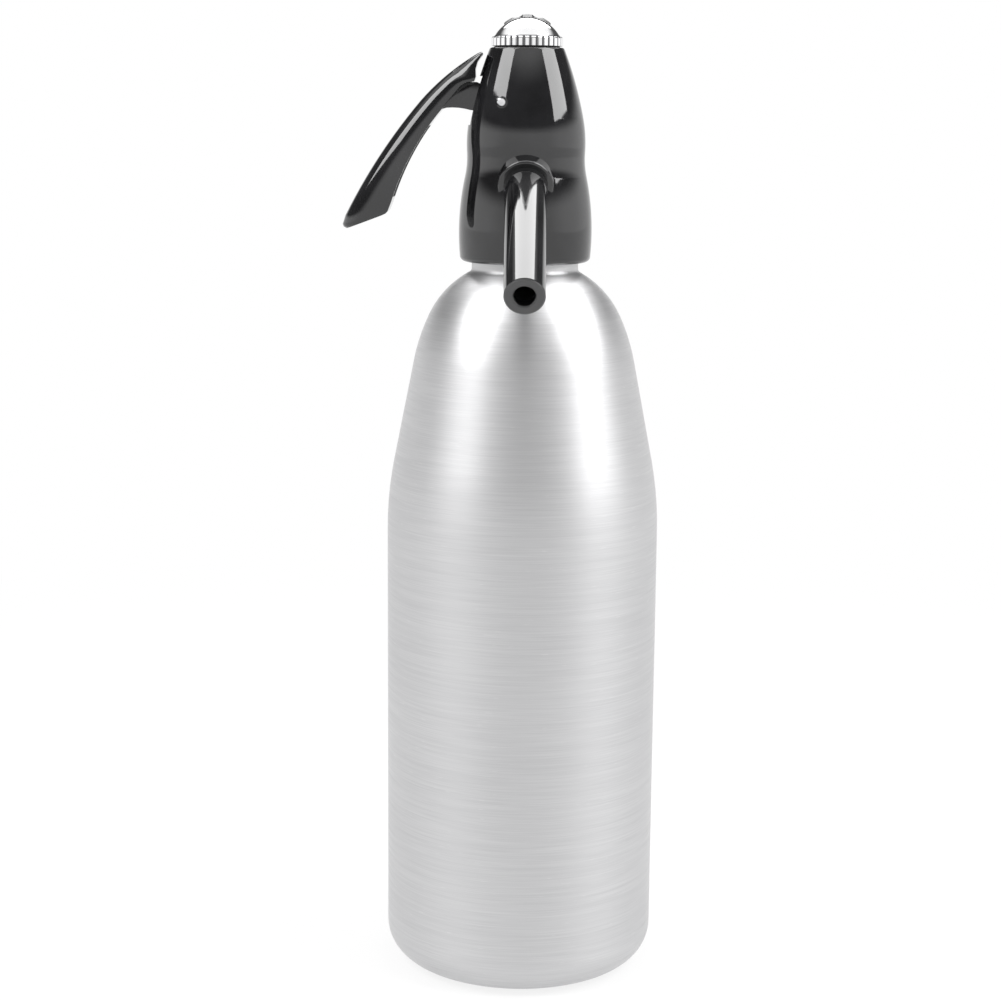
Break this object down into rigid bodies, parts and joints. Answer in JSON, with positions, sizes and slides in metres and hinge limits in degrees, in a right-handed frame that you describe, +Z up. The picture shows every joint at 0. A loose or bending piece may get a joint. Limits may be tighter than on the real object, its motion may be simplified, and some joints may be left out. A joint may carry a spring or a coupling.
{
  "type": "soda siphon",
  "caption": "Soda siphon: metal bottle with a screw-on head, side lever, downward spout, domed valve cap and a charger holder behind.",
  "frame": {"origin": "centre of the flat base, on the standing plane", "axes": "+Z up along the bottle; the spout points along -Y, the lever along -X, the charger holder rises along +Y"},
  "size_m": [0.1049, 0.1795, 0.32],
  "materials": {
    "brushed_aluminium": "brushed",
    "aluminium_plain": "machined",
    "clear_plastic": "milky",
    "steel": "satin",
    "rubber": "matt",
    "black_gloss": "polished",
    "black_matte": "fine grain",
    "brass": "turned",
    "chrome": "polished"
  },
  "bodies": {
    "bottle_body": {"bottle": "brushed_aluminium"},
    "tube_set": {"measuring_tube": "clear_plastic", "siphon_tube": "steel"},
    "neck_gasket": {"head_gasket": "rubber"},
    "head": {"head_shell": "black_gloss", "thread_insert": "aluminium_plain", "valve_body": "aluminium_plain", "tube_seal": "rubber", "stem_seal": "rubber", "gland_nut": "brass", "lever_pin": "steel", "spout_pipe": "steel", "spout_cover": "black_gloss", "spout_seal": "rubber", "inlet_nipple": "chrome", "check_valve": "rubber", "piercing_pin": "steel", "inlet_gasket": "rubber"},
    "lever_arm": {"lever": "black_gloss"},
    "stem": {"valve_stem": "steel", "valve_washer": "rubber", "stem_nut": "brass", "valve_spring": "steel"},
    "cap_ring": {"cap_seal": "rubber"},
    "cap": {"top_cap": "chrome"},
    "gas_charger": {"charger": "steel"},
    "holder": {"charger_holder": "black_matte", "holder_pad": "rubber"}
  },
  "joints": [
    {"name": "tube_lift", "type": "slide", "parent": "bottle_body", "child": "tube_set", "axis": [0, 0, 1], "range_m": [0, 0.26]},
    {"name": "head_rise", "type": "slide", "parent": "tube_set", "child": "neck_gasket", "axis": [0, 0, 1], "range_m": [0, 0.0076]},
    {"name": "head_turn", "type": "hinge", "parent": "neck_gasket", "child": "head", "pos_m": [0, 0, 0.245], "axis": [0, 0, 1], "range_deg": [0, 1080]},
    {"name": "lever_press", "type": "hinge", "parent": "head", "child": "lever_arm", "pos_m": [-0.0079, 0, 0.2886], "axis": [0, -1, 0], "range_deg": [0, 14], "stiffness_Nm_per_rad": 0.3, "springref_deg": -20.05},
    {"name": "stem_lift", "type": "slide", "parent": "head", "child": "stem", "axis": [0, 0, 1], "range_m": [0, 0.00195], "deforming": ["valve_spring"]},
    {"name": "cap_rise", "type": "slide", "parent": "head", "child": "cap_ring", "axis": [0, 0, 1], "range_m": [0, 0.0075]},
    {"name": "cap_turn", "type": "hinge", "parent": "cap_ring", "child": "cap", "pos_m": [0, 0, 0.307], "axis": [0, 0, 1], "range_deg": [0, 1810]},
    {"name": "charger_slide", "type": "slide", "parent": "head", "child": "gas_charger", "axis": [0, 0.8829, 0.4695], "range_m": [0, 0.01]},
    {"name": "holder_turn", "type": "hinge", "parent": "gas_charger", "child": "holder", "pos_m": [0, 0, 0.261], "axis": [0, 0.8829, 0.4695], "range_deg": [0, 1810]}
  ],
  "couplings": [
    {"joint": "head_rise", "follows": "head_turn", "m_per_rad": 0.00039789},
    {"joint": "stem_lift", "follows": "lever_press", "m_per_rad": 0.0079},
    {"joint": "cap_turn", "follows": "cap_rise", "rad_per_m": 4188.8},
    {"joint": "holder_turn", "follows": "charger_slide", "rad_per_m": 3141.6}
  ]
}
